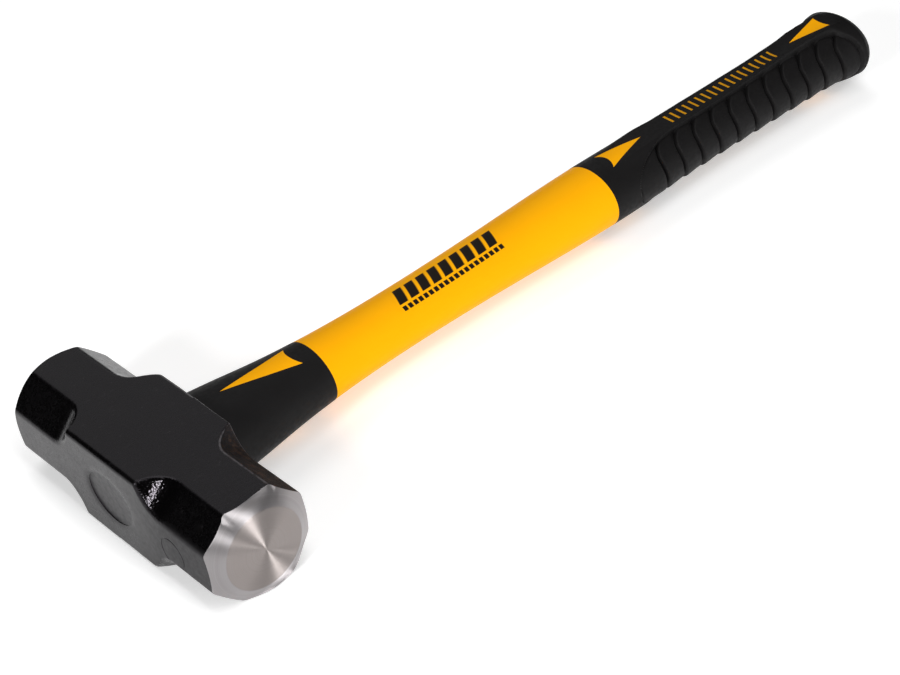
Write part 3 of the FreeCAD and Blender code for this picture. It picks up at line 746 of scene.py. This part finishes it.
def build_grip(rubber, tool_inner, prisms):
    """The ridged rubber grip with its closed butt."""
    angles = grip_angles()
    rows = []
    for station in grip_stations():
        flat = oval(np.full_like(angles, station), angles)
        on_side = smooth(np.abs(flat[:, 1]), 2.0, 5.5)
        along = smooth(station, 226, 244) * (1 - smooth(station, 364, 373))
        x = station + groove_shift(flat[:, 2]) * on_side * along
        points = oval(x, angles)
        lift = grip_lift(station, x, np.abs(points[:, 1]), points[:, 2])
        rows.append(raise_points(points, oval(x, angles, 1.0), lift))
    grip = closed_grid("grip_cover", np.array(rows[:-1] + butt_rows(angles)))
    boolean(grip, tool_inner)
    for item in prisms:
        boolean(grip, item)
    finish_piece(grip, "grip_sleeve", [rubber])


def build_handle(yellow, rubber):
    """The jacket, the collar and the grip, cut from the same forms so that they meet."""
    prisms = window_prisms()
    root, inner_end = SECTIONS[0, 0], BUTT_END - BUTT_WALL
    inner = plain_form("inner_form", root, inner_end, RUBBER, across=96, spacing=4.0)
    inner_long = plain_form(
        "inner_long", root - INNER_EXTRA, inner_end, RUBBER, across=96, spacing=4.0
    )
    skin = plain_form(
        "skin", root - SKIN_EXTRA, inner_end, SKIN_INSET, across=240, spacing=0.8, lifted=True
    )
    ends = [(COLLAR_END, -1), (GRIP_START, -1), (GRIP_START, 1), (COLLAR_END, 1)]
    flush = prism("bare_band", [(x, side * TOOL_REACH) for x, side in ends])
    for item in prisms:
        boolean(flush, item, "UNION")
    boolean(flush, skin, "INTERSECT", keep_tool=False)
    jacket = copy_of(inner, "jacket_shell")
    boolean(jacket, flush, "UNION", keep_tool=False)
    boolean(jacket, rod_tool(0.0, BUTT_END - CORE_BUTT_COVER), keep_tool=False)
    finish_piece(jacket, "handle_jacket", [yellow])

    collar = plain_form("collar_sleeve", root, COLLAR_END, 0.0, across=200, spacing=0.6)
    boolean(collar, inner_long)
    boolean(collar, prisms[0])
    finish_piece(collar, "overstrike_collar", [rubber])

    build_grip(rubber, inner_long, prisms[1:])
    for tool in [inner, inner_long] + prisms:
        bpy.data.objects.remove(tool)


# ---------------------------------------------------------------- materials
class Finish:
    """A node material, with short calls for the nodes that these finishes use."""

    def __init__(self, name, **constants):
        """A new material. Each further argument sets the shader's input of that name."""
        self.material = bpy.data.materials.new(name)
        self.material.use_nodes = True
        self.tree = self.material.node_tree
        self.shader = self.tree.nodes["Principled BSDF"]
        for socket, value in constants.items():
            self.set(socket.replace("_", " "), value)
        coordinates = self.tree.nodes.new("ShaderNodeTexCoord")
        self.position = self.vector("SCALE", coordinates.outputs["Object"], scale=1 / MM)

    def set(self, socket, value):
        """Set or link one of the shader's inputs."""
        self.feed(self.shader.inputs[socket], value)

    def feed(self, target, value):
        """Link a node's output to an input, or store a constant in it."""
        if isinstance(value, bpy.types.NodeSocket):
            self.tree.links.new(value, target)
        else:
            target.default_value = (*value, 1.0) if target.type == "RGBA" else value

    def vector(self, operation, value, other=None, scale=None):
        """The result of a vector operation."""
        node = self.tree.nodes.new("ShaderNodeVectorMath")
        node.operation = operation
        self.feed(node.inputs[0], value)
        if other is not None:
            self.feed(node.inputs[1], other)
        if scale is not None:
            node.inputs["Scale"].default_value = scale
        return node.outputs["Vector"]

    def maths(self, operation, value, other=0.0):
        """The result of an operation on one or two numbers."""
        node = self.tree.nodes.new("ShaderNodeMath")
        node.operation = operation
        for target, item in zip(node.inputs, (value, other)):
            self.feed(target, item)
        return node.outputs[0]

    def split(self, value):
        """The three parts of a vector."""
        node = self.tree.nodes.new("ShaderNodeSeparateXYZ")
        self.feed(node.inputs[0], value)
        return node.outputs

    def join(self, x, y, z):
        """A vector made of three numbers."""
        node = self.tree.nodes.new("ShaderNodeCombineXYZ")
        for target, item in zip(node.inputs, (x, y, z)):
            self.feed(target, item)
        return node.outputs[0]

    def noise(self, size, detail=3.0, rough=0.5, where=None, stretch=None):
        """Noise from 0 to 1, with features about size millimetres across."""
        node = self.tree.nodes.new("ShaderNodeTexNoise")
        where = self.position if where is None else where
        if stretch is not None:
            where = self.vector("MULTIPLY", where, stretch)
        self.feed(node.inputs["Vector"], where)
        node.inputs["Scale"].default_value = 1.0 / size
        node.inputs["Detail"].default_value = detail
        node.inputs["Roughness"].default_value = rough
        return node.outputs["Fac"]

    def cells(self, size):
        """Distance to the nearest of a scatter of points size millimetres apart."""
        node = self.tree.nodes.new("ShaderNodeTexVoronoi")
        self.feed(node.inputs["Vector"], self.position)
        node.inputs["Scale"].default_value = 1.0 / size
        return node.outputs["Distance"]

    def remap(self, value, low, high, to_low=0.0, to_high=1.0):
        """A smooth step from to_low at low to to_high at high."""
        node = self.tree.nodes.new("ShaderNodeMapRange")
        node.interpolation_type = "SMOOTHSTEP"
        for target, item in zip(node.inputs, (value, low, high, to_low, to_high)):
            self.feed(target, item)
        return node.outputs["Result"]

    def mix(self, share, first, second):
        """A colour between the first, where the share is 0, and the second, where it is 1."""
        node = self.tree.nodes.new("ShaderNodeMix")
        node.data_type = "RGBA"
        self.feed(node.inputs["Factor"], share)
        self.feed(node.inputs[6], first)
        self.feed(node.inputs[7], second)
        return node.outputs[2]

    def attribute(self, name):
        """A number stored at each vertex of the mesh."""
        node = self.tree.nodes.new("ShaderNodeAttribute")
        node.attribute_name = name
        return node.outputs["Fac"]

    def relief(self, height, depth, strength, under=None):
        """Bump from a height of 0 to 1, with its real depth in millimetres."""
        node = self.tree.nodes.new("ShaderNodeBump")
        node.inputs["Distance"].default_value = depth * MM
        self.feed(node.inputs["Strength"], strength)
        self.feed(node.inputs["Height"], height)
        if under is not None:
            self.tree.links.new(under, node.inputs["Normal"])
        self.tree.links.new(node.outputs["Normal"], self.shader.inputs["Normal"])
        return node.outputs["Normal"]


def head_paint():
    """Dark enamel over a forged surface, thick and coarse in the run-outs, chipped at edges."""
    f = Finish("head_paint", Specular_IOR_Level=0.25, Specular_Tint=(0.97, 0.90, 1.0))
    worn, rust, coarse = f.attribute("worn"), f.attribute("rust"), f.attribute("coarse")
    x, y = (f.split(f.position)[i] for i in range(2))
    fine, medium, broad = f.noise(0.35, 4), f.noise(1.6, 4), f.noise(14, 3)
    chips = f.maths("MULTIPLY", worn, f.remap(f.noise(2.6, 6, 0.75), 0.36, 0.60, 0.45, 1.0))
    chips = f.remap(chips, 0.22, 0.75)
    specks = f.remap(f.cells(2.6), 0.0, 0.13, 1.0, 0.0)
    dust = f.maths("MULTIPLY", specks, f.remap(f.noise(9, 2), 0.5, 0.75))
    dust = f.maths("MULTIPLY", dust, f.remap(x, -20.0, -15.0, 0.2, 1.0))
    scuffs = f.remap(f.noise(2.4, 6, 0.75, stretch=(0.4, 1.0, 1.0)), 0.60, 0.72)
    black = f.mix(broad, (0.0006, 0.0005, 0.0006), (0.0016, 0.0014, 0.0015))
    rusty = f.maths("MULTIPLY", rust, f.remap(f.noise(4.0, 6, 0.8), 0.50, 0.60))
    colour = f.mix(f.maths("MULTIPLY", scuffs, 0.22), black, (0.05, 0.046, 0.05))
    colour = f.mix(rusty, colour, (0.030, 0.016, 0.010))
    colour = f.mix(f.maths("MULTIPLY", dust, 0.4), colour, (0.09, 0.088, 0.09))
    colour = f.mix(chips, colour, (0.085, 0.080, 0.084))
    f.set("Base Color", colour)
    rough = f.remap(medium, 0.3, 0.7, 0.24, 0.31)
    rough = f.maths("ADD", rough, f.maths("MULTIPLY", rust, 0.45))
    on_top, near_end = f.remap(x, -21.0, -19.5, 1.0, 0.0), f.remap(y, -45.0, -5.0, 1.0, 0.0)
    dull = f.maths("MULTIPLY", on_top, near_end)
    rough = f.maths("ADD", rough, f.maths("MULTIPLY", dull, 0.20))
    rough = f.maths("SUBTRACT", rough, f.maths("MULTIPLY", coarse, 0.13))
    f.set("Roughness", f.maths("ADD", rough, f.maths("MULTIPLY", chips, 0.15)))
    under = f.relief(fine, 0.010, 0.3)
    under = f.relief(medium, 0.05, 0.2, under)
    under = f.relief(f.noise(1.1, 1, 0.4), 0.22, coarse, under)
    under = f.relief(f.noise(0.8, 5, 0.65), 0.25, rust, under)
    f.relief(f.maths("SUBTRACT", 1.0, chips), 0.08, 0.7, under)
    return f.material


def turned_steel():
    """Bare steel turned on a lathe: fine rings about the head's long axis."""
    f = Finish("turned_steel", Metallic=1.0, Anisotropic=0.97, Anisotropic_Rotation=0.25)
    x, y, z = (f.split(f.position)[i] for i in range(3))
    z = f.maths("SUBTRACT", z, AXIS_HEIGHT)
    radius = f.maths("SQRT", f.maths("ADD", f.maths("MULTIPLY", x, x), f.maths("MULTIPLY", z, z)))
    rings = f.noise(0.16, 4, 0.75, where=f.join(radius, 0.0, f.maths("MULTIPLY", y, 0.02)))
    wide = f.noise(1.1, 3, 0.6, where=f.join(radius, 3.0, 0.0))
    blotch = f.noise(7, 4)
    face = f.mix(f.remap(rings, 0.3, 0.7), (0.270, 0.241, 0.232), (0.338, 0.306, 0.295))
    bevel = f.mix(f.remap(rings, 0.3, 0.7), (0.40, 0.385, 0.395), (0.49, 0.47, 0.48))
    tone = f.mix(f.remap(radius, DISC_RADIUS - 0.3, DISC_RADIUS + 0.3), face, bevel)
    tone = f.mix(f.maths("MULTIPLY", f.remap(wide, 0.35, 0.65), 0.2), tone, (0.33, 0.305, 0.30))
    f.set("Base Color", f.mix(f.maths("MULTIPLY", blotch, 0.25), tone, (0.38, 0.335, 0.315)))
    rough = f.remap(rings, 0.25, 0.75, 0.40, 0.48)
    outer = f.remap(radius, DISC_RADIUS - 0.2, DISC_RADIUS + 0.2, 0.0, 0.12)
    f.set("Roughness", f.maths("ADD", rough, outer))
    tangent = f.tree.nodes.new("ShaderNodeTangent")
    tangent.direction_type = "RADIAL"
    tangent.axis = "Y"
    f.tree.links.new(tangent.outputs[0], f.shader.inputs["Tangent"])
    under = f.relief(rings, 0.01, 0.2)
    f.relief(f.noise(0.5, 3), 0.01, 0.1, under)
    return f.material


def yellow_plastic():
    """Moulded polypropylene with a printed band and line."""
    f = Finish("yellow_plastic", Specular_IOR_Level=0.03, Specular_Tint=(1.0, 0.6, 0.05))
    x, y, z = (f.split(f.position)[i] for i in range(3))
    tone = f.mix(f.noise(30, 3), (0.92, 0.392, 0.003), (0.95, 0.422, 0.003))
    grain = f.noise(0.5, 4)
    specks = f.remap(f.cells(3.4), 0.0, 0.1, 1.0, 0.0)
    tone = f.mix(f.maths("MULTIPLY", specks, 0.25), tone, (0.80, 0.32, 0.0))
    # Painted shade: the yellow that shows through the narrow marks in the rubber, between stations
    # 264 and 340, is darkened as if shade fell in the slots.
    shade_in_marks = f.maths("MULTIPLY", f.remap(x, 264.0, 266.0), f.remap(x, 338.0, 340.0, 1.0, 0.0))
    tone = f.mix(f.maths("MULTIPLY", shade_in_marks, 0.6), tone, (0.30, 0.15, 0.01))

    def between(value, low, high):
        """1 between low and high, and 0 outside them."""
        rise = f.remap(value, low - PRINT_EDGE, low + PRINT_EDGE)
        fall = f.remap(value, high - PRINT_EDGE, high + PRINT_EDGE, 1.0, 0.0)
        return f.maths("MULTIPLY", rise, fall)

    def printed_row(along, row, end):
        """Ink of a row of equal marks along the handle, before it is kept to the upper side."""
        phase = f.maths("DIVIDE", f.maths("SUBTRACT", along, row["start"]), row["pitch"])
        marks = between(f.maths("FRACT", phase), 0.0, row["share"])
        inside = f.maths("MULTIPLY", between(y, row["low"], row["high"]),
                         between(along, row["start"], end))
        return f.maths("MULTIPLY", inside, marks)

    lean = f.maths("SUBTRACT", x, f.maths("MULTIPLY", y, BLOCKS["lean"]))
    band = printed_row(lean, BLOCKS, BLOCKS_END)
    line = printed_row(x, DASHES, DASHES_END)
    on_top = f.remap(z, AXIS_HEIGHT - 1, AXIS_HEIGHT + 1)
    ink = f.maths("MULTIPLY", f.maths("MAXIMUM", band, line), on_top)
    f.set("Base Color", f.mix(ink, tone, (0.012, 0.010, 0.009)))
    rough = f.remap(f.noise(1.4, 3), 0.3, 0.7, 0.38, 0.46)
    f.set("Roughness", f.maths("SUBTRACT", rough, f.maths("MULTIPLY", ink, 0.1)))
    under = f.relief(grain, 0.02, 0.25)
    under = f.relief(f.noise(6, 2), 0.25, 0.2, under)
    f.relief(ink, 0.03, 0.5, under)
    return f.material


def black_rubber():
    """Matt thermoplastic rubber with a fine moulded grain and a little dust."""
    f = Finish("black_rubber", Specular_IOR_Level=0.12)
    specks = f.remap(f.cells(2.1), 0.0, 0.09, 1.0, 0.0)
    dust = f.maths("MULTIPLY", specks, f.remap(f.noise(11, 2), 0.48, 0.7))
    tone = f.mix(f.noise(9, 4), (0.0052, 0.0048, 0.0050), (0.0074, 0.0069, 0.0071))
    f.set("Base Color", f.mix(f.maths("MULTIPLY", dust, 0.45), tone, (0.07, 0.068, 0.068)))
    f.set("Roughness", f.remap(f.noise(1.8, 4), 0.3, 0.7, 0.50, 0.62))
    under = f.relief(f.noise(0.30, 3, 0.6), 0.05, 0.4)
    f.relief(f.noise(4.5, 3), 0.20, 0.2, under)
    return f.material


def core_fibreglass():
    """Pultruded glass fibre: pale resin with long fine fibres along the rod."""
    f = Finish("core_fibreglass", Specular_IOR_Level=0.5)
    fibres = f.noise(0.5, 4, 0.7, stretch=(0.03, 1.0, 1.0))
    tone = f.mix(f.remap(fibres, 0.3, 0.7), (0.50, 0.43, 0.27), (0.70, 0.64, 0.46))
    f.set("Base Color", tone)
    f.set("Roughness", f.remap(fibres, 0.3, 0.7, 0.3, 0.5))
    f.relief(fibres, 0.05, 0.4)
    return f.material


def resin_paint():
    """The same enamel over cast epoxy: smoother, with settled ripples."""
    f = Finish("resin_paint", Specular_IOR_Level=0.28, Specular_Tint=(0.97, 0.90, 1.0))
    tone = f.mix(f.noise(6, 4), (0.0008, 0.0007, 0.0008), (0.0018, 0.0016, 0.0018))
    specks = f.remap(f.cells(2.2), 0.0, 0.12, 1.0, 0.0)
    f.set("Base Color", f.mix(f.maths("MULTIPLY", specks, 0.25), tone, (0.06, 0.058, 0.06)))
    f.set("Roughness", f.remap(f.noise(1.5, 3), 0.3, 0.7, 0.28, 0.38))
    under = f.relief(f.noise(0.5, 4), 0.04, 0.35)
    f.relief(f.noise(2.6, 3), 0.15, 0.3, under)
    return f.material


def pale_floor():
    """Pale matt table top."""
    f = Finish("pale_floor", Specular_IOR_Level=0.2)
    f.set("Base Color", f.mix(f.noise(120, 3), (0.86, 0.86, 0.86), (0.90, 0.90, 0.90)))
    f.set("Roughness", f.remap(f.noise(20, 3), 0.3, 0.7, 0.65, 0.8))
    f.relief(f.noise(1.5, 3), 0.02, 0.2)
    f.set("Emission Color", (1.0, 1.0, 1.0))
    f.set("Emission Strength", 0.38)
    return f.material


# ---------------------------------------------------------------- stage
def area_light(name, direction, distance, size, watts, target):
    """A rectangular softbox that faces the target from the given direction."""
    data = bpy.data.lights.new(name, "AREA")
    data.shape = "RECTANGLE"
    data.size, data.size_y = size
    data.energy = watts
    light = bpy.data.objects.new(name, data)
    back = Vector(direction).normalized()
    light.location = Vector(target) + back * distance
    light.rotation_euler = back.to_track_quat("Z", "Y").to_euler()
    bpy.context.scene.collection.objects.link(light)


def build_stage():
    """Floor, soft studio light, dim surroundings and the camera."""
    mesh = bpy.data.meshes.new("floor")
    work = bmesh.new()
    bmesh.ops.create_grid(work, x_segments=24, y_segments=24, size=6.0)
    work.to_mesh(mesh)
    work.free()
    floor = bpy.data.objects.new("floor", mesh)
    floor.location = (0.0, 0.0, -FLOOR_GAP)
    bpy.context.scene.collection.objects.link(floor)
    mesh.materials.append(pale_floor())

    for name, settings in LIGHTS.items():
        area_light(name, *settings)

    world = bpy.data.worlds.new("surroundings")
    world.use_nodes = True
    background = world.node_tree.nodes["Background"]
    background.inputs["Color"].default_value = (1.0, 1.0, 1.0, 1.0)
    background.inputs["Strength"].default_value = 0.01
    bpy.context.scene.world = world

    data = bpy.data.cameras.new("camera")
    data.lens = CAMERA_LENS
    data.sensor_width = 36.0
    data.clip_start = 0.01
    camera = bpy.data.objects.new("camera", data)
    azimuth, elevation, roll = (math.radians(v) for v in CAMERA_TURNS)
    turn = Matrix.Rotation(azimuth, 4, "Z") @ Matrix.Rotation(math.pi / 2 - elevation, 4, "X")
    turned = Matrix.Translation(CAMERA_PLACE) @ turn
    camera.matrix_world = turned @ Matrix.Rotation(roll, 4, "Z")
    bpy.context.scene.collection.objects.link(camera)
    bpy.context.scene.camera = camera
    view = bpy.context.scene.view_settings
    view.view_transform = "Standard"
    view.look = "None"


# ---------------------------------------------------------------- assembly
build_stage()
build_head(head_paint(), turned_steel())
build_resin(resin_paint())
build_handle(yellow_plastic(), black_rubber())
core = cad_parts["fibreglass_core"]
core.data.materials.clear()
core.data.materials.append(core_fibreglass())
